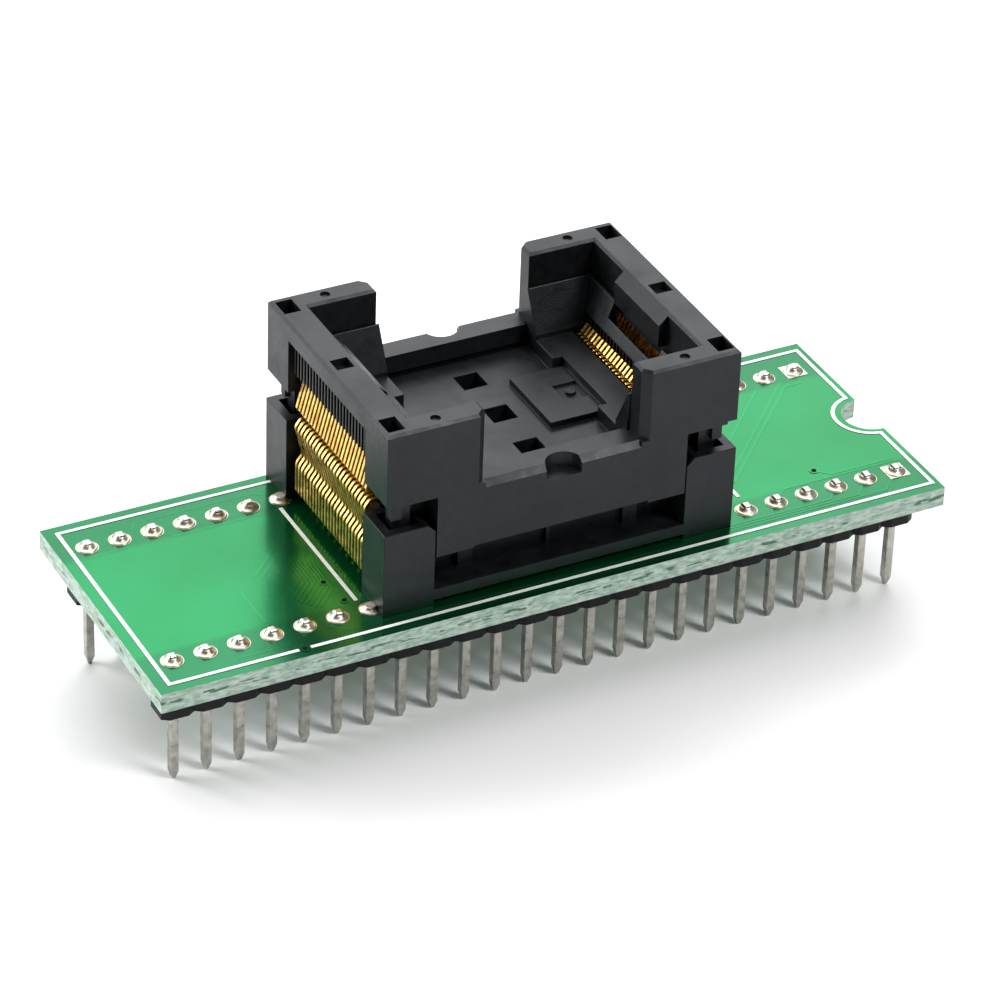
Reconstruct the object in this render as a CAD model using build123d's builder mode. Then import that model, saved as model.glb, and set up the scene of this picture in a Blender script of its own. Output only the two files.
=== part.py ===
from build123d import *
import os

# Open-top test socket for a 48-lead flat chip, on a small board with two rows of header pins.
# Frame: X along the board, Y across it, Z up. The origin is under the middle of the board,
# level with the tips of the pins. All sizes are in millimetres.

# Board: it reaches past the ends of the header strips and past the rows of pins by these margins
board_end_margin = 1.02
board_side_margin = 3.38
board_thickness = 1.6
end_notch_radius = 2.15

# Header strips and their pins
pin_count = 24
pin_pitch = 2.54
row_spacing = 15.24
pin_width = 0.64
pin_reach = 6.0
pin_point_length = 0.7
pin_point_inset = 0.18
pin_stub = 0.6
strip_height = 2.5
strip_width = 2.5
strip_chamfer = 0.55
strip_notch_depth = 0.35
pin_hole_clearance = 0.08

# Where the socket stands on the board
socket_x = 0.42
socket_y = 0.98

# Cover, measured from the middle of the socket and from the top of the board
cover_length = 27.9
cover_width = 19.9
cover_top = 15.1
cover_travel = 2.2
side_wall = 1.9
end_beam_width = 2.4
end_beam_thickness = 1.45
arm_start = 6.2
arm_chamfer = 0.6
rail_top = 9.35
rail_flange_thickness = 1.45
rail_flange_reach = 0.35
rail_bevel = 0.45
thumb_notch_radius = 1.4
thumb_notch_depth = 1.2
skirt_bottom = 4.0
skirt_step_length = 13.9
skirt_step = 0.18
recess_top = 9.05
corner_step = 0.22
corner_block_reach = 3.55
top_bevel = 0.2
corner_hole_length = 1.3
corner_hole_width = 1.75
corner_hole_depth = 5.0
corner_hole_inset_x = 0.3
corner_hole_inset_y = 0.55
ejector_mark_radius = 0.38
ejector_mark_depth = 0.2
ejector_mark_inset_x = 4.1
ejector_mark_inset_y = 0.95
gate_pocket_size = 1.35
gate_pocket_depth = 0.6
lead_tab_width = 0.8
lead_tab_thickness = 0.7
lead_tab_length = 1.8
lead_tab_clearance = 0.15
plunger_length = 1.35
plunger_width = 1.2
cam_clearance = 0.12
cam_web_slope = 0.65
cam_web_lift = 0.3
cam_block_length = 6.8
cam_block_reach = 0.7
cam_block_height = 2.5
cam_block_drop = 0.2
comb_lip = 0.2
comb_inset = 0.35
comb_rib = 0.16
latch_length = 2.6
latch_reach = 0.45
latch_height = 0.6

# Base
base_lift = 0.37
plate_thickness = 0.88
post_length = 4.0
post_chamfer = 0.6
post_wall = 0.7
pocket_length = 2.3
pocket_width = 2.15
pocket_floor = 1.4
core_gap = 0.15
ledge_level = 8.75
ledge_height = 1.15
ledge_start = 6.05
ledge_recess_depth = 0.8
ledge_recess_width = 7.0
platform_start = 2.4
platform_width = 6.6
platform_height = 0.5
platform_mark_length = 1.9
platform_mark_width = 2.1
platform_mark_depth = 0.25
platform_boss_radius = 0.4
vent_size = 1.9
vent_pitch = 4.8
vent_count = 3
window_rib = 0.35
window_rib_reach = 0.4
guide_top = 12.3
guide_end_gap = 0.2
guide_foot_rise = 0.4
guide_lip = 0.15
wing_inner = 3.6
lead_bar_rise = 1.25
lead_bar_height = 1.0
lead_bar_thickness = 0.45
running_clearance = 0.1

# The chip that the socket holds
chip_width = 12.0
chip_length_over_leads = 20.0
chip_clearance = 0.2

# Fixed contacts: bent strips, whose reaches and levels are those of the outer or upper face.
# The leg stands just inside the cover's end, the jaw under the chip's leads
contact_count = 24
contact_pitch = 0.5
contact_width = 0.26
strip_thickness = 0.22
leg_inset = 0.36
tail_inset = 1.09
tail_stagger = 1.3
tail_hole_clearance = 0.06
foot_level = 1.0
foot_clearance = 0.18
leg_top = 3.55
waist_depth = 0.49
waist_level = 4.2
loop_bulge = 0.11
loop_level = 6.65
crown_inset = 0.45
crown_level = 7.28
block_gap = 0.13
jaw_slope = 0.9
jaw_length = 0.82
jaw_overlap = 0.72
jaw_rise = 0.02
jaw_gap = 0.13
seat_gap = 0.02

# Rockers: a lever that the cover pushes outwards, and a finger that holds the chip's lead down.
# Their corners are measured outwards and upwards from the pivot, above the middle of the foot
pivot_radius = 0.3
pivot_inset = 0.05
lever_lean = 1.02
lever_rise = 3.3
lever_tip_width = 0.28
lever_back_lean = 1.53
lever_back_rise = 2.47
heel_lean = 2.0
heel_rise = 0.7
heel_height = 0.3
crotch_lean = 0.15
crotch_rise = 0.65
finger_apex_lean = 1.55
finger_apex_rise = 1.9
finger_depth = 0.4
finger_tip_inset = 0.27
finger_tip_length = 0.2
finger_tip_height = 0.12

# Return springs
spring_radius = 0.62
spring_wire = 0.24
spring_turns = 4
chords_per_turn = 9
spring_length = 4.6

# Levels and reaches that follow from the sizes above
board_length = pin_count * pin_pitch + 2 * board_end_margin
board_width = row_spacing + 2 * board_side_margin
board_bottom = pin_reach + strip_height
board_top = board_bottom + board_thickness
cover_end = cover_length / 2
cover_side = cover_width / 2
beam_inner = cover_end - end_beam_width
beam_bottom = cover_top - end_beam_thickness
skirt_end = cover_end - post_length
wall_inner = cover_side - side_wall
corner_bottom = recess_top + corner_step
post_start = skirt_end + running_clearance
post_end = post_start + post_length
post_top = recess_top - cover_travel
post_inner = cover_side - corner_block_reach
pocket_end = post_end - post_wall
pocket_side = cover_side - post_wall
plate_top = base_lift + plate_thickness
floor_level = ledge_level - ledge_height
core_side = wall_inner - rail_flange_reach - core_gap
shoulder_side = wall_inner - running_clearance
guide_end = beam_inner - guide_end_gap
guide_foot = chip_width / 2 + chip_clearance
guide_foot_level = ledge_level + guide_foot_rise
lead_bar_inner = chip_length_over_leads / 2 + chip_clearance
lead_bar_bottom = ledge_level + lead_bar_rise
lead_bar_top = lead_bar_bottom + lead_bar_height
leg_reach = cover_end - leg_inset
waist_reach = leg_reach - waist_depth
loop_reach = leg_reach + loop_bulge
crown_reach = loop_reach - crown_inset
outer_tail_reach = leg_reach - tail_inset
tail_reaches = (outer_tail_reach, outer_tail_reach - tail_stagger)
jaw_end = chip_length_over_leads / 2 - jaw_overlap
jaw_bend = jaw_end + jaw_length
jaw_root = jaw_bend + jaw_slope
jaw_level = ledge_level + jaw_rise
ledge_end = jaw_end - jaw_gap
end_block_reach = waist_reach - strip_thickness - block_gap
end_block_bottom = foot_level + strip_thickness + foot_clearance
block_top = crown_level - strip_thickness - seat_gap
pivot_reach = beam_inner + pivot_inset
pivot_level = crown_level + seat_gap + pivot_radius
finger_tip_reach = jaw_end + finger_tip_inset
cam_reach = pivot_reach + lever_lean - cam_clearance
web_bottom = pivot_level + lever_rise + cam_web_lift
cam_block_top = cover_top - cam_block_drop
spring_x = pocket_end - pocket_length / 2
spring_y = pocket_side - pocket_width / 2
spring_top = pocket_floor + spring_length
spring_foot = board_top + pocket_floor + spring_wire / 2
tab_end = pocket_end - lead_tab_clearance
middle = Plane.YZ.offset(socket_x)


# Horizontal plane through the socket's middle, at a height above the board.
def level(height):
    return Plane(origin=(socket_x, socket_y, board_top + height))


# Upright plane along the socket, seen from the front, at a distance from its middle.
def side_on(y):
    return Plane(origin=(socket_x, socket_y + y, board_top), x_dir=(1, 0, 0), z_dir=(0, -1, 0))


# Upright plane across the socket, seen from its right end.
def end_on(x):
    return Plane(origin=(socket_x + x, socket_y, board_top), x_dir=(0, 1, 0), z_dir=(1, 0, 0))


# Label one finished piece and write it.
def save(part, name):
    part.label = name
    export_step(part, f"parts/{name}.step")


os.makedirs("parts", exist_ok=True)

# Circuit board, with a half-round notch in its right end and holes for pins and contact tails
with BuildPart() as circuit_board:
    with BuildSketch(Plane.XY.offset(board_bottom)):
        Rectangle(board_length, board_width)
        with Locations((board_length / 2, 0)):
            Circle(end_notch_radius, mode=Mode.SUBTRACT)
        with GridLocations(pin_pitch, row_spacing, pin_count, 2):
            Rectangle(pin_width + pin_hole_clearance, pin_width + pin_hole_clearance, mode=Mode.SUBTRACT)
    extrude(amount=board_thickness)
    with BuildSketch(level(0)):
        for row, reach in enumerate(tail_reaches):
            with Locations((0, (row - 0.5) * contact_pitch)):
                with GridLocations(2 * reach - strip_thickness, 2 * contact_pitch, 2, contact_count // 2):
                    Rectangle(strip_thickness + tail_hole_clearance, contact_width + tail_hole_clearance)
    extrude(amount=-board_thickness, mode=Mode.SUBTRACT)
save(circuit_board.part, "circuit_board")

# One moulded segment of a header strip, with cut corners and a square channel for its pin
with BuildPart() as strip_segment:
    with BuildSketch(Plane.XY.offset(pin_reach)):
        with BuildLine():
            Polyline(
                (pin_pitch / 2, strip_width / 2 - strip_notch_depth),
                (pin_pitch / 2 - strip_chamfer, strip_width / 2),
                (strip_chamfer - pin_pitch / 2, strip_width / 2),
                (-pin_pitch / 2, strip_width / 2 - strip_notch_depth),
                (-pin_pitch / 2, strip_notch_depth - strip_width / 2),
                (strip_chamfer - pin_pitch / 2, -strip_width / 2),
                (pin_pitch / 2 - strip_chamfer, -strip_width / 2),
                (pin_pitch / 2, strip_notch_depth - strip_width / 2),
                close=True,
            )
        make_face()
        Rectangle(pin_width, pin_width, mode=Mode.SUBTRACT)
    extrude(amount=strip_height)

# Square pins, tapered to their points. Those under the socket are cut flush with the board
with BuildPart() as pin_row:
    with BuildSketch():
        with GridLocations(pin_pitch, 0, pin_count, 1):
            Rectangle(pin_width, pin_width)
    extrude(amount=board_top)
    point_edges = pin_row.faces().filter_by_position(Axis.Z, 0, 0).edges()
    chamfer(point_edges, pin_point_length, pin_point_inset)
    with BuildSketch(Plane.XY.offset(board_top)):
        for place in GridLocations(pin_pitch, 0, pin_count, 1):
            if abs(place.position.X - socket_x) > post_end + pin_width:
                with Locations(place):
                    Rectangle(pin_width, pin_width)
    extrude(amount=pin_stub)

for row_name, side in (("front", -1), ("rear", 1)):
    with BuildPart() as header_strip:
        with Locations((0, side * row_spacing / 2, 0)):
            with GridLocations(pin_pitch, 0, pin_count, 1):
                add(strip_segment.part)
    save(header_strip.part, f"{row_name}_header_strip")
    with BuildPart() as header_pins:
        with Locations((0, side * row_spacing / 2, 0)):
            add(pin_row.part)
    save(header_pins.part, f"{row_name}_header_pins")

# Socket base: a plate on four hollow posts, a raised floor between them, and the chip guides
with BuildPart() as socket_base:
    # Right half first: plate, core, shoulders with the chip ledge, and the block under the contacts
    with BuildSketch(level(base_lift)):
        with Locations((post_start / 2, 0)):
            Rectangle(post_start, cover_width)
    extrude(amount=plate_thickness)
    with BuildSketch(level(base_lift)):
        with Locations((ledge_start / 2, 0)):
            Rectangle(ledge_start, 2 * core_side)
    extrude(amount=floor_level - base_lift)
    with BuildSketch(level(base_lift)):
        with Locations(((ledge_start + ledge_end) / 2, 0)):
            Rectangle(ledge_end - ledge_start, 2 * shoulder_side)
    extrude(amount=ledge_level - base_lift)
    with BuildSketch(level(floor_level)):
        with Locations((ledge_start + ledge_recess_depth / 2, 0)):
            Rectangle(ledge_recess_depth, ledge_recess_width)
    extrude(amount=ledge_level - floor_level, mode=Mode.SUBTRACT)
    with BuildSketch(level(base_lift)):
        with Locations(((ledge_end + post_start) / 2, 0)):
            Rectangle(post_start - ledge_end, 2 * shoulder_side)
    extrude(amount=post_top - base_lift)
    with BuildSketch(level(end_block_bottom)):
        with Locations(((ledge_end + end_block_reach) / 2, 0)):
            Rectangle(end_block_reach - ledge_end, 2 * post_inner)
    extrude(amount=block_top - end_block_bottom)

    # Corner posts with a chamfer towards the skirt and an open pocket for the spring
    for side in (-1, 1):
        with BuildSketch(side_on(side * cover_side)):
            with BuildLine():
                Polyline(
                    (post_start, 0),
                    (post_end, 0),
                    (post_end, post_top),
                    (post_start + post_chamfer, post_top),
                    (post_start, post_top - post_chamfer),
                    close=True,
                )
            make_face()
        extrude(amount=side * corner_block_reach)
        with BuildSketch(level(pocket_floor)):
            with Locations((spring_x, side * spring_y)):
                Rectangle(pocket_length, pocket_width)
        extrude(amount=post_top, mode=Mode.SUBTRACT)

    # Guide towers that slope towards the chip's long sides
    for side in (-1, 1):
        with BuildSketch(end_on(ledge_start)):
            with BuildLine():
                Polyline(
                    (side * guide_foot, post_top - post_chamfer),
                    (side * shoulder_side, post_top - post_chamfer),
                    (side * shoulder_side, guide_top),
                    (side * (shoulder_side - guide_lip), guide_top),
                    (side * guide_foot, guide_foot_level),
                    close=True,
                )
            make_face()
        extrude(amount=guide_end - ledge_start)

    # Wings and a low bar that slope towards the chip's ends, above the contact fingers
    with BuildSketch(side_on(shoulder_side)):
        with BuildLine():
            Polyline(
                (lead_bar_inner, lead_bar_bottom),
                (guide_end, lead_bar_bottom),
                (guide_end, guide_top),
                (guide_end - 2 * guide_lip, guide_top),
                (lead_bar_inner, lead_bar_bottom + guide_lip),
                close=True,
            )
        make_face()
    extrude(amount=2 * shoulder_side)
    lead_bar_outer = lead_bar_inner + lead_bar_thickness
    with BuildSketch(level(lead_bar_bottom)):
        with Locations(((lead_bar_outer + guide_end) / 2, 0)):
            Rectangle(guide_end - lead_bar_outer, 2 * wing_inner)
    extrude(amount=guide_top - lead_bar_bottom, mode=Mode.SUBTRACT)
    with BuildSketch(level(lead_bar_top)):
        with Locations(((lead_bar_inner + lead_bar_outer) / 2, 0)):
            Rectangle(lead_bar_thickness, 2 * wing_inner)
    extrude(amount=guide_top - lead_bar_top, mode=Mode.SUBTRACT)

    # Grooves that the cover's latch teeth run in
    for side in (-1, 1):
        with BuildSketch(level(plate_top)):
            with Locations((skirt_end - latch_length / 2, side * shoulder_side)):
                Rectangle(latch_length + 2 * running_clearance, 2 * (latch_reach + running_clearance))
        extrude(amount=skirt_bottom + latch_height + running_clearance / 2 - plate_top, mode=Mode.SUBTRACT)
    mirror(about=middle)

    # A rib in the middle of each side window, and vent holes through the floor
    with BuildSketch(level(plate_top)):
        Rectangle(window_rib, 2 * (core_side + window_rib_reach))
    extrude(amount=rail_top - rail_flange_thickness - cover_travel - running_clearance - plate_top)
    with BuildSketch(level(base_lift)):
        with GridLocations(0, vent_pitch, 1, vent_count):
            Rectangle(vent_size, vent_size)
    extrude(amount=floor_level - base_lift, mode=Mode.SUBTRACT)

    # Low platform on the right half of the floor, with a square recess and a round mark
    platform_end = ledge_start + ledge_recess_depth
    mark_x = platform_end - platform_mark_length / 2 - chip_clearance
    with BuildSketch(level(floor_level)):
        with Locations(((platform_start + platform_end) / 2, 0)):
            Rectangle(platform_end - platform_start, platform_width)
    extrude(amount=platform_height)
    with BuildSketch(level(floor_level + platform_height)):
        with Locations((mark_x, 0)):
            Rectangle(platform_mark_length, platform_mark_width)
            Circle(platform_boss_radius, mode=Mode.SUBTRACT)
    extrude(amount=-platform_mark_depth, mode=Mode.SUBTRACT)
save(socket_base.part, "socket_base")

# Socket cover: two long sides, each a low rail between tall arms, joined by a beam at each end
with BuildPart() as socket_cover:
    # Outline of one long side, right of the middle
    for side in (-1, 1):
        with BuildSketch(side_on(side * cover_side)):
            with BuildLine():
                Polyline(
                    (0, rail_top),
                    (arm_start, rail_top),
                    (arm_start, cover_top),
                    (cover_end, cover_top),
                    (cover_end, corner_bottom),
                    (tab_end, corner_bottom),
                    (tab_end, recess_top),
                    (skirt_end, recess_top),
                    (skirt_end, skirt_bottom),
                    (skirt_step_length / 2, skirt_bottom),
                    (skirt_step_length / 2, skirt_bottom + skirt_step),
                    (0, skirt_bottom + skirt_step),
                    close=True,
                )
            make_face()
        extrude(amount=side * side_wall)

    # Bevel along the outer edge of each rail
    rail_edges = socket_cover.edges().filter_by(Axis.X).group_by(Axis.Z)[-2].sort_by(Axis.Y)
    chamfer([rail_edges[0], rail_edges[-1]], rail_bevel)

    # End beam and the corner blocks below it
    with BuildSketch(level(beam_bottom)):
        with Locations((cover_end - end_beam_width / 2, 0)):
            Rectangle(end_beam_width, cover_width)
    extrude(amount=end_beam_thickness)
    for side in (-1, 1):
        with BuildSketch(level(corner_bottom)):
            with Locations((cover_end - end_beam_width / 2, side * (cover_side - corner_block_reach / 2))):
                Rectangle(end_beam_width, corner_block_reach)
        extrude(amount=beam_bottom - corner_bottom)

    # Flange that thickens each rail inwards
    for side in (-1, 1):
        with BuildSketch(level(rail_top)):
            with Locations((0, side * (wall_inner - rail_flange_reach / 2))):
                Rectangle(ledge_start - running_clearance, rail_flange_reach, align=(Align.MIN, Align.CENTER))
        extrude(amount=-rail_flange_thickness)

    # Cut corners at the ends of the arms
    for side in (-1, 1):
        with BuildSketch(level(rail_top)):
            with BuildLine():
                Polyline(
                    (arm_start, side * cover_side),
                    (arm_start + arm_chamfer, side * cover_side),
                    (arm_start, side * (cover_side - arm_chamfer)),
                    close=True,
                )
            make_face()
        extrude(amount=cover_top - rail_top, mode=Mode.SUBTRACT)
    chamfer(socket_cover.faces().sort_by(Axis.Z)[-1].edges(), top_bevel)

    # Web under the beam that pushes the levers out, and the cam block on the beam's inner face
    with BuildSketch(side_on(post_inner)):
        with BuildLine():
            Polyline(
                (beam_inner, beam_bottom),
                (beam_inner, web_bottom),
                (cam_reach, web_bottom),
                (cam_reach + cam_web_slope, beam_bottom),
                close=True,
            )
        make_face()
    extrude(amount=2 * post_inner)
    with BuildSketch(side_on(cam_block_length / 2)):
        with BuildLine():
            Polyline(
                (beam_inner, cam_block_top),
                (beam_inner - cam_block_reach, cam_block_top - cam_block_reach),
                (beam_inner - cam_block_reach, cam_block_top - cam_block_height),
                (beam_inner, cam_block_top - cam_block_height),
                close=True,
            )
        make_face()
    extrude(amount=cam_block_length)

    # Comb of thin ribs in the end opening, one between each two levers
    comb_outer = cover_end - comb_inset
    with BuildSketch(level(beam_bottom)):
        with Locations(((cam_reach + comb_outer) / 2, 0)):
            with GridLocations(0, contact_pitch, 1, contact_count + 1):
                Rectangle(comb_outer - cam_reach, comb_rib)
    extrude(amount=web_bottom - comb_lip - beam_bottom)

    # Latch teeth inside the skirt, locating tabs and spring plungers under the corners
    for side in (-1, 1):
        with BuildSketch(end_on(skirt_end)):
            with BuildLine():
                Polyline(
                    (side * wall_inner, skirt_bottom),
                    (side * (wall_inner - latch_reach), skirt_bottom + latch_height / 2),
                    (side * (wall_inner - latch_reach), skirt_bottom + latch_height),
                    (side * wall_inner, skirt_bottom + latch_height),
                    close=True,
                )
            make_face()
        extrude(amount=-latch_length)
        with BuildSketch(level(corner_bottom)):
            with Locations((tab_end - lead_tab_width / 2, side * (pocket_side - running_clearance / 2))):
                Rectangle(
                    lead_tab_width, lead_tab_thickness,
                    align=(Align.CENTER, Align.MAX if side > 0 else Align.MIN),
                )
        extrude(amount=-lead_tab_length)
        with BuildSketch(level(spring_top)):
            with Locations((spring_x, side * spring_y)):
                Rectangle(plunger_length, plunger_width)
        extrude(amount=corner_bottom - spring_top)

    # Marks of moulding on the top face: corner holes, ejector marks and the gate pocket
    for side in (-1, 1):
        hole_x = cover_end - corner_hole_inset_x - corner_hole_length / 2
        hole_y = side * (cover_side - corner_hole_inset_y - corner_hole_width / 2)
        with BuildSketch(level(cover_top)):
            with Locations((hole_x, hole_y)):
                Rectangle(corner_hole_length, corner_hole_width)
        extrude(amount=-corner_hole_depth, mode=Mode.SUBTRACT)
        with BuildSketch(level(cover_top)):
            with Locations((cover_end - ejector_mark_inset_x, side * (cover_side - ejector_mark_inset_y))):
                Circle(ejector_mark_radius)
        extrude(amount=-ejector_mark_depth, mode=Mode.SUBTRACT)
        with BuildSketch(level(rail_top)):
            with Locations((0, side * cover_side)):
                Circle(thumb_notch_radius)
        extrude(amount=-thumb_notch_depth, mode=Mode.SUBTRACT)
    with BuildSketch(level(cover_top)):
        with Locations((cover_end - end_beam_width / 2, 0)):
            Rectangle(gate_pocket_size, gate_pocket_size)
    extrude(amount=-gate_pocket_depth, mode=Mode.SUBTRACT)
    mirror(about=middle)
save(socket_cover.part, "socket_cover")

# Fixed contacts at the right end, in two sets, because their tails stand in staggered rows
row_names = ("outer", "inner")
for row, reach in enumerate(tail_reaches):
    with BuildPart() as fixed_contact:
        with BuildSketch(side_on(contact_width / 2)):
            with BuildLine():
                Polyline(
                    (reach, -board_thickness),
                    (reach, foot_level),
                    (leg_reach, foot_level),
                    (leg_reach, leg_top),
                    (waist_reach, waist_level),
                    (loop_reach, loop_level),
                    (crown_reach, crown_level),
                    (jaw_root, crown_level),
                    (jaw_bend, jaw_level),
                    (jaw_end, jaw_level),
                )
                offset(amount=strip_thickness, side=Side.LEFT, kind=Kind.INTERSECTION)
            make_face()
        extrude(amount=contact_width)
    with BuildPart() as right_contacts:
        with Locations((0, (row - 0.5) * contact_pitch, 0)):
            with GridLocations(0, 2 * contact_pitch, 1, contact_count // 2):
                add(fixed_contact.part)
    save(right_contacts.part, f"right_{row_names[row]}_contacts")
    with BuildPart() as left_contacts:
        mirror(right_contacts.part, about=middle)
    save(left_contacts.part, f"left_{row_names[row]}_contacts")

# One rocker, flat and stamped to shape: tip and back of the lever, heel, foot, then the finger
tip_bottom = jaw_level + seat_gap
finger_apex = (pivot_reach - finger_apex_lean, pivot_level + finger_apex_rise)
with BuildPart() as rocker:
    with BuildSketch(side_on(contact_width / 2)):
        with BuildLine():
            Polyline(
                (pivot_reach + lever_lean, pivot_level + lever_rise),
                (pivot_reach + lever_lean + lever_tip_width, pivot_level + lever_rise),
                (pivot_reach + lever_back_lean, pivot_level + lever_back_rise),
                (pivot_reach + heel_lean, pivot_level + heel_rise),
                (pivot_reach + heel_lean - heel_height / 2, pivot_level + heel_rise - heel_height),
                (pivot_reach + pivot_radius / 2, pivot_level - pivot_radius),
                (pivot_reach - pivot_radius / 2, pivot_level - pivot_radius),
                (pivot_reach - pivot_radius, pivot_level - pivot_radius / 2),
                (finger_apex[0], finger_apex[1] - finger_depth),
                (finger_tip_reach + finger_tip_length, tip_bottom),
                (finger_tip_reach, tip_bottom + finger_tip_height),
                finger_apex,
                (pivot_reach + crotch_lean, pivot_level + crotch_rise),
                close=True,
            )
        make_face()
    extrude(amount=contact_width)
with BuildPart() as right_rockers:
    with GridLocations(0, contact_pitch, 1, contact_count):
        add(rocker.part)
save(right_rockers.part, "right_rockers")
with BuildPart() as left_rockers:
    mirror(right_rockers.part, about=middle)
save(left_rockers.part, "left_rockers")

# Return springs, one in the pocket of each post, each a square wire bent in short chords
chord_count = spring_turns * chords_per_turn
chord_rise = (spring_length - spring_wire) / chord_count
for end_name, end in (("left", -1), ("right", 1)):
    for row_name, side in (("front", -1), ("rear", 1)):
        foot = Vector(socket_x + end * spring_x, socket_y + side * spring_y, spring_foot)
        with BuildPart() as spring:
            with BuildLine() as coil:
                corners = []
                for step in range(chord_count + 1):
                    around = Vector(spring_radius, 0, step * chord_rise)
                    corners.append(foot + around.rotate(Axis.Z, step * 360 / chords_per_turn))
                Polyline(*corners)
            with BuildSketch(Plane(origin=coil.line @ 0, z_dir=coil.line % 0)):
                Rectangle(spring_wire, spring_wire)
            sweep(path=coil.line, transition=Transition.RIGHT)
        save(spring.part, f"{end_name}_{row_name}_spring")
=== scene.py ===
import bmesh
import bpy
import math
from mathutils import Matrix, Vector


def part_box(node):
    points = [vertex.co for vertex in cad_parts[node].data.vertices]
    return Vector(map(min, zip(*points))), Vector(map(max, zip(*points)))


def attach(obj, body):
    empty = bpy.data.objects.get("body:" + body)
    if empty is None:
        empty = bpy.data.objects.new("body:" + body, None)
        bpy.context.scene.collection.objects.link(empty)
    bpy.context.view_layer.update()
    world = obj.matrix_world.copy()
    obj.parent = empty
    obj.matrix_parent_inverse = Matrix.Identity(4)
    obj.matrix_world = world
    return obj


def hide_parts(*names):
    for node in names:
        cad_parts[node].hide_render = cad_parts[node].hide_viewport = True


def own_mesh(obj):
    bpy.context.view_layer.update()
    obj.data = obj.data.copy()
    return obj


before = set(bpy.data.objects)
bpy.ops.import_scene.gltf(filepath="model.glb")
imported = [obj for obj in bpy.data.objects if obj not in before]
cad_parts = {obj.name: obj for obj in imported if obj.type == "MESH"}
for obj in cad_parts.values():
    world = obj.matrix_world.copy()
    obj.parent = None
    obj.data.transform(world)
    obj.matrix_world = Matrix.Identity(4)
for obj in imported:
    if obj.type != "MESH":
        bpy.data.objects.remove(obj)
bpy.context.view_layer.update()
mm = 0.001
boardLow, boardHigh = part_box("circuit_board")
baseLow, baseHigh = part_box("socket_base")
socketMiddle = (baseLow + baseHigh) / 2
print("frame loaded")

# corners nearer than join are one, and those within sameLevel stand at one level, in mm
# faces that meet at less than flatAngle, in degrees, are one face
meshLook = {"join": 0.001, "sameLevel": 0.01, "flatAngle": 0.5}


# place on the board's top face, in mm from the board's middle
def onBoard(x, y, lift=0.0):
    return Vector((x * mm, y * mm, boardHigh.z + lift * mm))


# mesh object from a bmesh, riding on a body and painted with one material
def addPiece(name, bm, body, material):
    mesh = bpy.data.meshes.new(name)
    bm.to_mesh(mesh)
    bm.free()
    piece = bpy.data.objects.new(name, mesh)
    bpy.context.scene.collection.objects.link(piece)
    mesh.materials.append(material)
    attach(piece, body)
    return piece


# clean copy of a CAD node's mesh: shared corners joined, flat faces made whole
def copyNode(nodeName):
    bm = bmesh.new()
    bm.from_mesh(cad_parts[nodeName].data)
    bmesh.ops.remove_doubles(bm, verts=bm.verts, dist=meshLook["join"] * mm)
    bmesh.ops.dissolve_limit(bm, angle_limit=math.radians(meshLook["flatAngle"]), verts=bm.verts,
                             edges=bm.edges)
    return bm


def replaceNode(nodeName, pieceName, bm, body, material):
    piece = addPiece(pieceName, bm, body, material)
    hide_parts(nodeName)
    return piece


# edges rounded in the mesh itself
def bevelEdges(bm, edges, width, segments, clamp=False):
    bmesh.ops.bevel(bm, geom=edges, offset=width * mm, segments=segments, affect="EDGES", profile=0.5,
                    material=-1, clamp_overlap=clamp)


# fine rounding of every edge sharper than an angle, left live
def addRounding(piece, width, segments, angle):
    rounding = piece.modifiers.new("edgeRound", "BEVEL")
    rounding.width = width * mm
    rounding.segments = segments
    rounding.limit_method = "ANGLE"
    rounding.angle_limit = math.radians(angle)


def newMaterial(name):
    material = bpy.data.materials.new(name)
    material.use_nodes = True
    tree = material.node_tree
    return material, tree, tree.nodes["Principled BSDF"]


def objectNoise(tree, scale, detail=3.0, stretch=(1, 1, 1)):
    place = tree.nodes.new("ShaderNodeTexCoord")
    mapping = tree.nodes.new("ShaderNodeMapping")
    noise = tree.nodes.new("ShaderNodeTexNoise")
    mapping.inputs["Scale"].default_value = stretch
    noise.inputs["Scale"].default_value = scale
    noise.inputs["Detail"].default_value = detail
    tree.links.new(place.outputs["Object"], mapping.inputs["Vector"])
    tree.links.new(mapping.outputs["Vector"], noise.inputs["Vector"])
    return noise.outputs["Fac"]


# two colours blended between two levels of a value
def ramp(tree, value, levels, lowColor, highColor):
    node = tree.nodes.new("ShaderNodeValToRGB")
    for element, level, color in zip(node.color_ramp.elements, levels, (lowColor, highColor)):
        element.position = level
        element.color = (*color, 1)
    tree.links.new(value, node.inputs["Fac"])
    return node.outputs["Color"]


# a value's rise from low to high, turned into one from start to end
def rise(tree, value, low, high, start=0.0, end=1.0):
    node = tree.nodes.new("ShaderNodeMapRange")
    node.inputs["From Min"].default_value = low
    node.inputs["From Max"].default_value = high
    node.inputs["To Min"].default_value = start
    node.inputs["To Max"].default_value = end
    tree.links.new(value, node.inputs["Value"])
    return node.outputs["Result"]


noiseLow = 0.3  # where most of a noise lies
noiseHigh = 0.7


# a noise spread over a range of roughness
def spread(tree, noise, roughness):
    return rise(tree, noise, noiseLow, noiseHigh, *roughness)


def mathNode(tree, operation, first, second):
    node = tree.nodes.new("ShaderNodeMath")
    node.operation = operation
    for socket, value in zip(node.inputs, (first, second)):
        if isinstance(value, (int, float)):
            socket.default_value = value
        else:
            tree.links.new(value, socket)
    return node.outputs["Value"]


def mixColor(tree, factor, first, second):
    node = tree.nodes.new("ShaderNodeMix")
    node.data_type = "RGBA"
    tree.links.new(factor, node.inputs["Factor"])
    for name, value in (("A", first), ("B", second)):
        if isinstance(value, tuple):
            node.inputs[name].default_value = (*value, 1)
        else:
            tree.links.new(value, node.inputs[name])
    return node.outputs["Result"]


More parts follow.
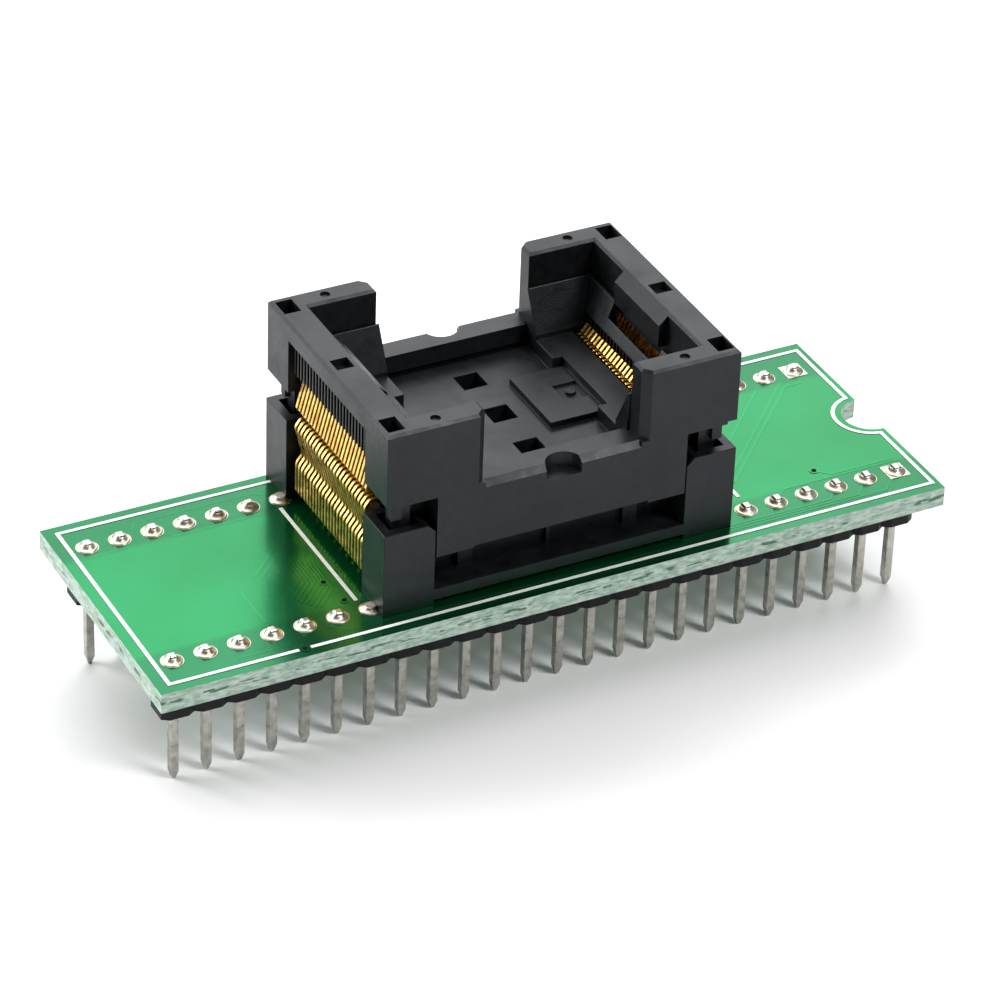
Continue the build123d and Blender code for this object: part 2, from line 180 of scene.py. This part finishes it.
def splitVector(tree, vector):
    node = tree.nodes.new("ShaderNodeSeparateXYZ")
    tree.links.new(vector, node.inputs["Vector"])
    return node.outputs


def addBump(tree, shader, height, look):
    node = tree.nodes.new("ShaderNodeBump")
    node.inputs["Strength"].default_value = look["bump"]
    node.inputs["Distance"].default_value = look["bumpDepth"] * mm
    tree.links.new(height, node.inputs["Height"])
    tree.links.new(node.outputs["Normal"], shader.inputs["Normal"])


# moulded charcoal plastic: glass-filled, mottled, faintly rough
plasticLook = {
    "dark": (0.004, 0.0045, 0.0055), "light": (0.010, 0.011, 0.013), "tones": (0.3, 0.72),
    "mottle": 1100, "grain": 5500, "cloud": 260, "cloudShare": 0.6, "rough": (0.30, 0.52),
    "specular": 0.3, "tint": (0.86, 0.94, 1.0), "bump": 0.45, "bumpDepth": 0.03,
}


def makeSocketPlastic():
    look = plasticLook
    material, tree, shader = newMaterial("socketPlastic")
    mottle = objectNoise(tree, look["mottle"], detail=6)
    grain = objectNoise(tree, look["grain"], detail=2)
    cloud = objectNoise(tree, look["cloud"], detail=4)
    color = ramp(tree, mottle, look["tones"], look["dark"], look["light"])
    tree.links.new(color, shader.inputs["Base Color"])
    patchy = mathNode(tree, "ADD", mathNode(tree, "MULTIPLY", cloud, look["cloudShare"]),
                      mathNode(tree, "MULTIPLY", mottle, 1 - look["cloudShare"]))
    tree.links.new(spread(tree, patchy, look["rough"]), shader.inputs["Roughness"])
    shader.inputs["Specular IOR Level"].default_value = look["specular"]
    shader.inputs["Specular Tint"].default_value = (*look["tint"], 1)
    addBump(tree, shader, grain, look)
    return material


# black plastic of the two header strips
stripLook = {
    "dark": (0.003, 0.003, 0.0035), "light": (0.008, 0.008, 0.009), "tones": (0.3, 0.7), "grain": 7000,
    "rough": (0.45, 0.6), "specular": 0.2, "bump": 0.3, "bumpDepth": 0.02,
}


def makeStripPlastic():
    look = stripLook
    material, tree, shader = newMaterial("stripPlastic")
    grain = objectNoise(tree, look["grain"], detail=2)
    color = ramp(tree, grain, look["tones"], look["dark"], look["light"])
    tree.links.new(color, shader.inputs["Base Color"])
    shader.inputs["Specular IOR Level"].default_value = look["specular"]
    tree.links.new(spread(tree, grain, look["rough"]), shader.inputs["Roughness"])
    addBump(tree, shader, grain, look)
    return material


# solder mask on both faces of the board, a little darker along the two rows of pins: the band
# starts and ends at these distances from the board's middle line, in mm
maskLook = {
    "dark": (0.0005, 0.150, 0.040), "light": (0.002, 0.180, 0.054),
    "bandDark": (0.001, 0.105, 0.032), "bandLight": (0.003, 0.135, 0.046),
    "tones": (0.35, 0.65), "cloud": 90, "bandStart": 6.1, "bandEnd": 6.7, "traceShine": 1.14,
    "metal": 0.82, "rough": 0.2, "coat": 0.08, "coatRough": 0.03,
}

# bare glass fibre with dark weave marks on the board's edges; the weave's levels are shares of its height
fibreLook = {
    "dark": (0.22, 0.33, 0.26), "light": (0.45, 0.56, 0.49), "tones": (0.36, 0.64),
    "scale": 3200, "stretch": (0.5, 0.5, 1.4), "rough": 0.6,
    "weave": (0.06, 0.13, 0.09), "weaveScale": 1700, "weaveStretch": (0.5, 0.5, 1.6),
    "dashes": (0.54, 0.60), "weaveLow": 0.40, "weaveHigh": 0.62,
    "speck": 2600, "fibreShare": 0.7, "bump": 0.10, "bumpDepth": 0.02,
}


def maskTone(tree, shine=1.0):
    look = maskLook

    def lit(key):
        return tuple(part * shine for part in look[key])

    cloud = objectNoise(tree, look["cloud"], detail=3)
    place = splitVector(tree, tree.nodes.new("ShaderNodeTexCoord").outputs["Object"])
    across = mathNode(tree, "ABSOLUTE", place["Y"], 0)
    band = rise(tree, across, look["bandStart"] * mm, look["bandEnd"] * mm)
    middleTone = ramp(tree, cloud, look["tones"], lit("dark"), lit("light"))
    rowTone = ramp(tree, cloud, look["tones"], lit("bandDark"), lit("bandLight"))
    return mixColor(tree, band, middleTone, rowTone)


# copper runs under the mask: its tone, a little brighter
def makeCoatedTrace():
    look = maskLook
    material, tree, shader = newMaterial("coatedTrace")
    tree.links.new(maskTone(tree, look["traceShine"]), shader.inputs["Base Color"])
    shader.inputs["Metallic"].default_value = look["metal"]
    shader.inputs["Roughness"].default_value = look["rough"]
    shader.inputs["Coat Weight"].default_value = look["coat"]
    shader.inputs["Coat Roughness"].default_value = look["coatRough"]
    return material


# one where a face looks up or down, nought on the board's edges
def flatFaces(tree):
    facing = splitVector(tree, tree.nodes.new("ShaderNodeNewGeometry").outputs["Normal"])
    return mathNode(tree, "GREATER_THAN", mathNode(tree, "ABSOLUTE", facing["Z"], 0), 0.5)


# dark dashes at the middle height of the board's edges
def weaveMarks(tree):
    look = fibreLook
    noise = objectNoise(tree, look["weaveScale"], detail=2, stretch=look["weaveStretch"])
    dashes = rise(tree, noise, *look["dashes"])
    place = splitVector(tree, tree.nodes.new("ShaderNodeTexCoord").outputs["Object"])
    height = rise(tree, place["Z"], boardLow.z, boardHigh.z)
    inBand = mathNode(tree, "MULTIPLY", mathNode(tree, "GREATER_THAN", height, look["weaveLow"]),
                      mathNode(tree, "LESS_THAN", height, look["weaveHigh"]))
    return mathNode(tree, "MULTIPLY", dashes, inBand)


def makeBoardMask():
    look = fibreLook
    material, tree, shader = newMaterial("boardMask")
    flat = flatFaces(tree)
    fibre = objectNoise(tree, look["scale"], detail=5, stretch=look["stretch"])
    edge = ramp(tree, fibre, look["tones"], look["dark"], look["light"])
    edge = mixColor(tree, weaveMarks(tree), edge, look["weave"])
    tree.links.new(mixColor(tree, flat, edge, maskTone(tree)), shader.inputs["Base Color"])
    tree.links.new(rise(tree, flat, 0, 1, 0, maskLook["metal"]), shader.inputs["Metallic"])
    tree.links.new(rise(tree, flat, 0, 1, look["rough"], maskLook["rough"]), shader.inputs["Roughness"])
    tree.links.new(rise(tree, flat, 0, 1, 0, maskLook["coat"]), shader.inputs["Coat Weight"])
    shader.inputs["Coat Roughness"].default_value = maskLook["coatRough"]
    speck = objectNoise(tree, look["speck"], detail=2)
    height = mathNode(tree, "ADD", mathNode(tree, "MULTIPLY", fibre, look["fibreShare"]), speck)
    addBump(tree, shader, height, look)
    return material


# plain finishes: painted shade standing in for the dark inside of the small plated holes, and the white
# printing ink
paintLooks = {
    "viaHoleShade": {"dark": (0.001, 0.004, 0.002), "light": (0.003, 0.012, 0.006), "tones": (0.3, 0.7),
                "scale": 5000, "rough": 0.9, "specular": 0.1},
    "whiteInk": {"dark": (0.74, 0.79, 0.75), "light": (0.86, 0.88, 0.86), "tones": (0.3, 0.6),
                 "scale": 4000, "rough": 0.55, "specular": 0.5},
}


def makePaint(name):
    look = paintLooks[name]
    material, tree, shader = newMaterial(name)
    color = ramp(tree, objectNoise(tree, look["scale"]), look["tones"], look["dark"], look["light"])
    tree.links.new(color, shader.inputs["Base Color"])
    shader.inputs["Roughness"].default_value = look["rough"]
    shader.inputs["Specular IOR Level"].default_value = look["specular"]
    return material


# plated metals: one function, a few looks
metalLooks = {
    "contactGold": {"dark": (0.55, 0.32, 0.06), "light": (0.90, 0.62, 0.19), "rough": (0.24, 0.38),
                    "scale": 1800},
    "pinTin": {"dark": (0.30, 0.30, 0.27), "light": (0.50, 0.49, 0.45), "rough": (0.24, 0.40), "scale": 1500},
    "solder": {"dark": (0.48, 0.45, 0.37), "light": (0.72, 0.68, 0.58), "rough": (0.26, 0.42), "scale": 1300},
    "springSteel": {"dark": (0.40, 0.40, 0.40), "light": (0.62, 0.62, 0.62), "rough": (0.25, 0.35),
                    "scale": 2500},
}
platingLook = {"tones": (0.32, 0.66), "bump": 0.15, "bumpDepth": 0.02}


def makeMetal(name):
    look = metalLooks[name]
    material, tree, shader = newMaterial(name)
    noise = objectNoise(tree, look["scale"], detail=4)
    color = ramp(tree, noise, platingLook["tones"], look["dark"], look["light"])
    tree.links.new(color, shader.inputs["Base Color"])
    tree.links.new(spread(tree, noise, look["rough"]), shader.inputs["Roughness"])
    shader.inputs["Metallic"].default_value = 1.0
    addBump(tree, shader, noise, platingLook)
    return material


socketPlastic = makeSocketPlastic()
stripPlastic = makeStripPlastic()
boardMask = makeBoardMask()
coatedTrace = makeCoatedTrace()
# painted shade for the insides of the via holes
viaHoleShade = makePaint("viaHoleShade")
whiteInk = makePaint("whiteInk")
contactGold = makeMetal("contactGold")
pinTin = makeMetal("pinTin")
solderMetal = makeMetal("solder")
springSteel = makeMetal("springSteel")
print("materials made")

# board: the CAD solid is right, so it only gets its material
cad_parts["circuit_board"].data.materials.clear()
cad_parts["circuit_board"].data.materials.append(boardMask)

# copies of the moulded and cut pieces, with their sharp edges rounded; rounds in mm, angle in degrees
roundLook = {"edgeSteps": 2, "edgeAngle": 35, "pinEnd": 0.16, "foot": 0.14, "endSteps": 3}
roundedNodes = {
    "socket_cover": {"piece": "coverShell", "body": "cover", "slot": "socket_plastic", "width": 0.07},
    "socket_base": {"piece": "baseMoulding", "body": "adapter", "slot": "socket_plastic", "width": 0.07},
    "front_header_strip": {"piece": "frontStrip", "body": "adapter", "slot": "strip_plastic", "width": 0.07},
    "rear_header_strip": {"piece": "rearStrip", "body": "adapter", "slot": "strip_plastic", "width": 0.07},
    "front_header_pins": {"piece": "frontPins", "body": "adapter", "slot": "pin_metal", "width": 0.06},
    "rear_header_pins": {"piece": "rearPins", "body": "adapter", "slot": "pin_metal", "width": 0.06},
    "left_rockers": {"piece": "leftRockers", "body": "left_rocker_bank", "slot": "contact_metal",
                     "width": 0.03},
    "right_rockers": {"piece": "rightRockers", "body": "right_rocker_bank", "slot": "contact_metal",
                      "width": 0.03},
}
finishes = {"socket_plastic": socketPlastic, "strip_plastic": stripPlastic, "pin_metal": pinTin,
            "contact_metal": contactGold}


# upper ends of the pins, cut and slightly domed
def roundPinEnds(bm):
    reach = meshLook["sameLevel"] * mm
    top = max(vert.co.z for vert in bm.verts)
    ends = [edge for edge in bm.edges if all(top - vert.co.z < reach for vert in edge.verts)]
    bevelEdges(bm, ends, roundLook["pinEnd"], roundLook["endSteps"])


# feet of the rockers, which roll on the contacts
def roundFeet(bm):
    reach = meshLook["sameLevel"] * mm
    bottom = min(vert.co.z for vert in bm.verts)
    low = [edge for edge in bm.edges if all(vert.co.z - bottom < reach for vert in edge.verts)]
    corners = [edge for edge in low if abs(edge.verts[0].co.x - edge.verts[1].co.x) < reach]
    bevelEdges(bm, corners, roundLook["foot"], roundLook["endSteps"])


for nodeName, look in roundedNodes.items():
    bm = copyNode(nodeName)
    if look["slot"] == "pin_metal":
        roundPinEnds(bm)
    if look["slot"] == "contact_metal":
        roundFeet(bm)
    piece = replaceNode(nodeName, look["piece"], bm, look["body"], finishes[look["slot"]])
    addRounding(piece, look["width"], roundLook["edgeSteps"], roundLook["edgeAngle"])
print("moulded pieces rounded")

# contacts: copies whose bends are rounded where the strip turns by more than leastBend, in degrees
contactLook = {
    "bendRound": 0.2, "bendSteps": 5, "leastBend": 8, "longFace": 0.45, "acrossShare": 0.9,
    "edgeRound": 0.025, "edgeSteps": 1, "edgeAngle": 50,
}


# edges that run across the strip between two faces long enough to take the bend
def findBends(bm):
    bends = []
    for edge in bm.edges:
        run = edge.verts[0].co - edge.verts[1].co
        if abs(run.y) < contactLook["acrossShare"] * run.length or len(edge.link_faces) != 2:
            continue
        if edge.calc_face_angle(0) < math.radians(contactLook["leastBend"]):
            continue
        lengths = [face.calc_area() / run.length for face in edge.link_faces]
        if min(lengths) > contactLook["longFace"] * mm:
            bends.append(edge)
    return bends


for end in ("left", "right"):
    for row in ("outer", "inner"):
        bm = copyNode(f"{end}_{row}_contacts")
        bevelEdges(bm, findBends(bm), contactLook["bendRound"], contactLook["bendSteps"], clamp=True)
        piece = replaceNode(f"{end}_{row}_contacts", f"{end}{row.capitalize()}Contacts", bm, "adapter",
                            contactGold)
        addRounding(piece, contactLook["edgeRound"], contactLook["edgeSteps"], contactLook["edgeAngle"])
print("contacts rounded")

# return springs: round wire, wound at rest; keep is the share they would be pressed down to as the cover goes
# down
springLook = {"wire": 0.24, "turns": 4.5, "stepsPerTurn": 20, "sides": 8, "keep": 0.52}


def addSpring(nodeName, pieceName):
    low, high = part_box(nodeName)
    middle = (low + high) / 2
    wireRadius = springLook["wire"] * mm / 2
    coilRadius = (high.x - low.x) / 2 - wireRadius
    climb = high.z - low.z - 2 * wireRadius
    bm = bmesh.new()
    ring = bmesh.ops.create_circle(bm, segments=springLook["sides"], radius=wireRadius)["verts"]
    upright = Matrix.Rotation(math.radians(90), 4, "X")
    bmesh.ops.transform(bm, matrix=upright, verts=ring)
    bmesh.ops.translate(bm, vec=(middle.x + coilRadius, middle.y, low.z + wireRadius), verts=ring)
    steps = round(springLook["turns"] * springLook["stepsPerTurn"])
    section = list(bm.edges)
    bmesh.ops.spin(bm, geom=section, cent=(middle.x, middle.y, 0), axis=(0, 0, 1), steps=steps,
                   angle=math.radians(360 * springLook["turns"]), dvec=(0, 0, climb / steps),
                   use_duplicate=False)
    bmesh.ops.holes_fill(bm, edges=bm.edges, sides=springLook["sides"])
    bmesh.ops.recalc_face_normals(bm, faces=bm.faces)
    for face in bm.faces:
        face.smooth = True
    piece = replaceNode(nodeName, pieceName, bm, "adapter", springSteel)
    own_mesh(piece)


for end in ("left", "right"):
    for row in ("front", "rear"):
        addSpring(f"{end}_{row}_spring", f"{end}{row.capitalize()}Spring")
print("springs wound")

# pads round every pin, on the top face, and solder on those that the socket doesn't hide
# the last pad of each row is square; hiddenReach and postFace are measured from the socket's middle
padLook = {
    "pinCount": 24, "pitch": 2.54, "rowSpacing": 15.24, "radius": 0.84, "height": 0.04, "sides": 32,
    "hiddenReach": 14.0, "postFace": 14.07,
}

# solder: radius and height from the pad's rim to the pin's end, and how the heights vary from pin to pin
solderLook = {
    "profile": ((0.80, 0.0), (0.77, 0.05), (0.68, 0.08), (0.57, 0.12), (0.49, 0.19), (0.44, 0.30),
                (0.38, 0.37)),
    "steps": 24, "join": 0.0001, "cutSides": 40, "vary": 0.12, "varyStep": 5,
}


# solder that meets the socket's post stops just short of it
def trimAtPost(bm, verts, side):
    limit = socketMiddle.x + side * padLook["postFace"] * mm
    geom = [item for vert in verts for item in (vert, *vert.link_edges, *vert.link_faces)]
    cut = bmesh.ops.bisect_plane(bm, geom=list(set(geom)), plane_co=(limit, 0, 0), plane_no=(-side, 0, 0),
                                 clear_outer=True)
    rim = [item for item in cut["geom_cut"] if isinstance(item, bmesh.types.BMEdge)]
    if rim:
        bmesh.ops.holes_fill(bm, edges=rim, sides=solderLook["cutSides"])


# copy of the solder's shape at a place, stretched upwards
def addSolder(bm, shape, place, tall):
    before = set(bm.verts)
    bm.from_mesh(shape)
    fresh = [vert for vert in bm.verts if vert not in before]
    bmesh.ops.scale(bm, vec=(1, 1, tall), verts=fresh)
    bmesh.ops.translate(bm, vec=place, verts=fresh)
    return fresh


def makeSolderShape():
    bm = bmesh.new()
    points = [bm.verts.new((radius * mm, 0, height * mm)) for radius, height in solderLook["profile"]]
    outline = [bm.edges.new(pair) for pair in zip(points, points[1:])]
    bmesh.ops.spin(bm, geom=points + outline, cent=(0, 0, 0), axis=(0, 0, 1), steps=solderLook["steps"],
                   angle=math.radians(360), use_merge=True)
    bmesh.ops.remove_doubles(bm, verts=bm.verts, dist=solderLook["join"] * mm)
    bmesh.ops.holes_fill(bm, edges=bm.edges, sides=solderLook["steps"])
    bmesh.ops.recalc_face_normals(bm, faces=bm.faces)
    for face in bm.faces:
        face.smooth = len(face.verts) == 4  # the two flat caps have more sides
    mesh = bpy.data.meshes.new("solderShape")
    bm.to_mesh(mesh)
    bm.free()
    return mesh


# middle of every pin, and whether it is the last of its row
def pinPlaces():
    first = -(padLook["pinCount"] - 1) / 2
    for side in (-1, 1):
        for index in range(padLook["pinCount"]):
            x = (first + index) * padLook["pitch"]
            yield x, side * padLook["rowSpacing"] / 2, index == padLook["pinCount"] - 1


def addPad(bm, x, y, isSquare):
    sides = 4 if isSquare else padLook["sides"]
    radius = padLook["radius"] * (math.sqrt(2) if isSquare else 1)
    turn = Matrix.Rotation(math.radians(45 if isSquare else 0), 4, "Z")
    place = Matrix.Translation(onBoard(x, y, padLook["height"] / 2)) @ turn
    bmesh.ops.create_cone(bm, cap_ends=True, segments=sides, radius1=radius * mm, radius2=radius * mm,
                          depth=padLook["height"] * mm, matrix=place)


def addPads():
    solderShape = makeSolderShape()
    pads = bmesh.new()
    solder = bmesh.new()
    for x, y, isLast in pinPlaces():
        addPad(pads, x, y, isLast)
        away = x - socketMiddle.x / mm
        if abs(away) < padLook["hiddenReach"]:
            continue
        tall = 1 + solderLook["vary"] * math.sin(solderLook["varyStep"] * x + y)
        fresh = addSolder(solder, solderShape, onBoard(x, y, padLook["height"]), tall)
        if abs(away) < padLook["postFace"] + padLook["radius"]:
            trimAtPost(solder, fresh, math.copysign(1, away))
    addPiece("pinPads", pads, "adapter", solderMetal)
    addPiece("pinSolder", solder, "adapter", solderMetal)


addPads()
print("pads and solder added")

sharpestCorner = 0.5  # how far a strip's mitre may lengthen, as the cosine of half its turn


# flat strip along a route on the board, given in mm from its middle: an edge across its start,
# extruded from corner to corner
def addStrip(bm, route, width, lift):
    points = [Vector(point) for point in route]
    rim = []
    for index, point in enumerate(points):
        before = (point - points[index - 1]).normalized() if index else (points[1] - point).normalized()
        after = (points[index + 1] - point).normalized() if index < len(points) - 1 else before
        mitre = Vector((-before.y - after.y, before.x + after.x)).normalized()
        cosine = abs(mitre.dot(Vector((-before.y, before.x))))
        mitre *= width / 2 / max(sharpestCorner, cosine)
        places = [onBoard(*(point + mitre * side), lift) for side in (1, -1)]
        if not rim:
            rim = [bm.verts.new(place) for place in places]
            bm.edges.new(rim)
            continue
        grown = bmesh.ops.extrude_edge_only(bm, edges=[bm.edges.get(rim)])["geom"]
        fresh = [item for item in grown if isinstance(item, bmesh.types.BMVert)]
        rim = sorted(fresh, key=lambda vert: (vert.co - rim[0].co).length)
        for vert, place in zip(rim, places):
            vert.co = place


# the faces of a flat print, turned upwards
def faceUp(bm):
    for face in bm.faces:
        face.normal_update()
        if face.normal.z < 0:
            face.normal_flip()


# white ink: a frame just inside the board's edge that steps round the notch, and lines beside the socket
# notchMiddle is the middle of the arc round the notch, outwards from the board's end
inkLook = {
    "endInset": 1.0, "notchEndInset": 0.55, "sideInset": 0.9, "lineWidth": 0.3, "lift": 0.035,
    "notchRadius": 2.65, "notchMiddle": -0.15, "arcSteps": 18,
    "socketLine": ((-14.45, 6.6), (-14.45, -6.3)),
    "farSocketLine": ((16.85, 6.6), (16.85, -5.9)),
    "viaGap": (-20.65, -19.75),
}


def addInk():
    bm = bmesh.new()
    left = boardLow.x / mm + inkLook["endInset"]
    right = boardHigh.x / mm - inkLook["notchEndInset"]
    side = boardHigh.y / mm - inkLook["sideInset"]
    middle = boardHigh.x / mm + inkLook["notchMiddle"]
    radius = inkLook["notchRadius"]
    start = math.acos((right - middle) / radius)
    arc = []
    for step in range(inkLook["arcSteps"] + 1):
        angle = start + (2 * math.pi - 2 * start) * step / inkLook["arcSteps"]
        arc.append((middle + radius * math.cos(angle), radius * math.sin(angle)))
    gapStart, gapEnd = inkLook["viaGap"]
    frameLine = [(gapEnd, -side), (right, -side), *reversed(arc), (right, side), (left, side), (left, -side),
                 (gapStart, -side)]
    for route in (frameLine, inkLook["socketLine"], inkLook["farSocketLine"]):
        addStrip(bm, route, inkLook["lineWidth"], inkLook["lift"])
    faceUp(bm)
    addPiece("inkLines", bm, "adapter", whiteInk)


addInk()
print("ink printed")

# copper runs that show faintly through the mask, from the pads towards the socket
# each lies liftStep above the one before, and each of the bundle is moved on by bundleStep
traceLook = {
    "width": 0.2, "lift": 0.006, "liftStep": 0.001, "bundleCount": 8, "bundleWidth": 0.14,
    "bundleRoute": ((-14.2, 3.4), (-16.9, 0.6), (-16.9, -2.2), (-18.9, -4.2)),
    "bundleStep": ((0, -0.13), (0.26, -0.26), (0.26, -0.26), (0.26, -0.26)),
}
traceRoutes = (
    ((-29.8, 6.4), (-26.7, 6.5), (-26.1, 7.0)),
    ((-23.6, 7.1), (-22.7, 6.4), (-14.0, 6.5)),
    ((-25.4, 8.4), (-24.8, 9.2), (-15.5, 9.2), (-14.8, 8.6)),
    ((-21.5, -1.8), (-21.4, -6.0), (-20.5, -6.7), (-20.4, -8.2), (-21.0, -9.2), (-25.0, -9.2)),
    ((-19.4, -1.0), (-14.4, 4.3)),
    ((-19.8, -0.7), (-14.9, 4.4)),
    ((-15.0, -4.8), (-16.5, -4.7), (-17.7, -5.9), (-17.7, -8.3), (-16.2, -9.4), (-12.0, -9.4)),
    ((25.8, 6.9), (18.0, -0.9), (14.0, -0.9)),
    ((28.0, 7.1), (17.8, -3.1), (14.0, -3.1)),
    ((29.0, 6.0), (27.5, 5.9), (17.6, -4.0), (14.0, -4.0)),
    ((19.1, -7.6), (20.4, -6.3), (30.4, -6.3)),
    ((23.7, -5.1), (24.7, -6.0), (30.0, -6.0)),
    ((24.1, -7.6), (22.9, -8.9), (12.0, -8.9)),
    ((26.7, -7.6), (25.1, -9.2), (12.0, -9.2)),
    ((29.2, -7.6), (27.3, -9.5), (12.0, -9.5)),
)


def addTraces():
    bm = bmesh.new()
    runs = [(route, traceLook["width"]) for route in traceRoutes]
    for index in range(traceLook["bundleCount"]):
        route = [(x + index * stepX, y + index * stepY)
                 for (x, y), (stepX, stepY) in zip(traceLook["bundleRoute"], traceLook["bundleStep"])]
        runs.append((route, traceLook["bundleWidth"]))
    for index, (route, width) in enumerate(runs):
        addStrip(bm, route, width, traceLook["lift"] + index * traceLook["liftStep"])
    faceUp(bm)
    addPiece("maskTraces", bm, "adapter", coatedTrace)


addTraces()

# small plated holes: a ring of mask round a dark disc of painted shade where the bore is
viaLook = {
    "ring": 0.36, "ringLift": 0.04, "holeShade": 0.2, "holeShadeLift": 0.06, "sides": 24,
    "places": ((-15.6, -3.3), (-15.2, -5.9), (-20.2, -10.1), (23.7, -5.1)),
}


def addDiscs(name, radius, lift, material):
    bm = bmesh.new()
    for x, y in viaLook["places"]:
        place = Matrix.Translation(onBoard(x, y, lift))
        bmesh.ops.create_circle(bm, cap_ends=True, segments=viaLook["sides"], radius=radius * mm,
                                matrix=place)
    addPiece(name, bm, "adapter", material)


addDiscs("viaRings", viaLook["ring"], viaLook["ringLift"], coatedTrace)
# dark discs of painted shade laid over the via holes
addDiscs("viaHoleShades", viaLook["holeShade"], viaLook["holeShadeLift"], viaHoleShade)
print("traces and vias added")

# moulded ribs of the base between the fingers of each end, and the shelf above them
# starts and ends are measured outwards from the socket's middle, lows and highs from the board
ribLook = {"count": 25, "pitch": 0.5, "thick": 0.13, "start": 10.22, "end": 11.3, "low": 8.9, "high": 10.0}
shelfLook = {"start": 10.6, "end": 11.33, "width": 7.2, "high": 10.12}


# box at one end of the socket, by its length, its middle and width across, and its height
def addEndBox(bm, side, along, middleY, width, upright):
    ends = [socketMiddle.x / mm + side * reach for reach in along]
    low = onBoard(min(ends), middleY - width / 2, upright[0])
    high = onBoard(max(ends), middleY + width / 2, upright[1])
    place = Matrix.Translation((low + high) / 2) @ Matrix.Diagonal((*(high - low), 1))
    bmesh.ops.create_cube(bm, size=1, matrix=place)


def addFingerRibs():
    bm = bmesh.new()
    middleY = socketMiddle.y / mm
    for side in (-1, 1):
        for index in range(ribLook["count"]):
            y = middleY + (index - (ribLook["count"] - 1) / 2) * ribLook["pitch"]
            addEndBox(bm, side, (ribLook["start"], ribLook["end"]), y, ribLook["thick"],
                      (ribLook["low"], ribLook["high"]))
        addEndBox(bm, side, (shelfLook["start"], shelfLook["end"]), middleY, shelfLook["width"],
                  (ribLook["high"], shelfLook["high"]))
    addPiece("fingerRibs", bm, "adapter", socketPlastic)


addFingerRibs()
print("ribs added")

# floor of the studio, in metres
floorLook = {"reach": 3.0, "color": (0.93, 0.93, 0.93), "rough": 0.9}


def addFloor():
    bm = bmesh.new()
    bmesh.ops.create_grid(bm, x_segments=1, y_segments=1, size=floorLook["reach"])
    mesh = bpy.data.meshes.new("studioFloor")
    bm.to_mesh(mesh)
    bm.free()
    studioFloor = bpy.data.objects.new("studioFloor", mesh)
    bpy.context.scene.collection.objects.link(studioFloor)
    material, tree, shader = newMaterial("paleFloor")
    shader.inputs["Base Color"].default_value = (*floorLook["color"], 1)
    shader.inputs["Roughness"].default_value = floorLook["rough"]
    mesh.materials.append(material)


# white surroundings: bright behind the object, dim as a light
worldLook = {"lighting": 0.16, "backdrop": 0.95}


def setWorld():
    world = bpy.data.worlds.new("studioWorld")
    world.use_nodes = True
    tree = world.node_tree
    background = tree.nodes["Background"]
    background.inputs["Color"].default_value = (1, 1, 1, 1)
    seen = tree.nodes.new("ShaderNodeLightPath").outputs["Is Camera Ray"]
    strength = rise(tree, seen, 0, 1, worldLook["lighting"], worldLook["backdrop"])
    tree.links.new(strength, background.inputs["Strength"])
    bpy.context.scene.world = world


# soft lights, in metres and watts, each turned towards the socket
lightLooks = {
    "edgeLight": {"place": (0.18, -0.27, 0.36), "size": 0.15, "power": 1.2},
    "sideLight": {"place": (-0.45, 0.35, 0.20), "size": 0.35, "power": 3.2},
    "backLight": {"place": (0.25, 0.75, 0.55), "size": 1.0, "power": 7.5},
    "topLight": {"place": (0.0, 0.30, 0.9), "size": 1.2, "power": 7.5},
}


def addLight(name, look):
    light = bpy.data.lights.new(name, "AREA")
    light.size = look["size"]
    light.energy = look["power"]
    lamp = bpy.data.objects.new(name, light)
    lamp.location = look["place"]
    lamp.rotation_euler = (socketMiddle - Vector(look["place"])).to_track_quat("-Z", "Y").to_euler()
    bpy.context.scene.collection.objects.link(lamp)


# camera fitted to the photograph: place in metres, turn in degrees, lens and sensor in mm
cameraLook = {
    "place": (-0.13348, -0.25047, 0.20037), "turn": (56.253, -1.800, -26.877), "lens": 168.47, "sensor": 36,
    "near": 0.01, "far": 20,
}


def addCamera():
    camera = bpy.data.cameras.new("photoCamera")
    camera.sensor_width = cameraLook["sensor"]
    camera.lens = cameraLook["lens"]
    camera.clip_start = cameraLook["near"]
    camera.clip_end = cameraLook["far"]
    eye = bpy.data.objects.new("photoCamera", camera)
    eye.location = cameraLook["place"]
    eye.rotation_euler = [math.radians(angle) for angle in cameraLook["turn"]]
    bpy.context.scene.collection.objects.link(eye)
    bpy.context.scene.camera = eye


addFloor()
setWorld()
for name, look in lightLooks.items():
    addLight(name, look)
addCamera()
bpy.context.scene.view_settings.view_transform = "Standard"
print("studio set")
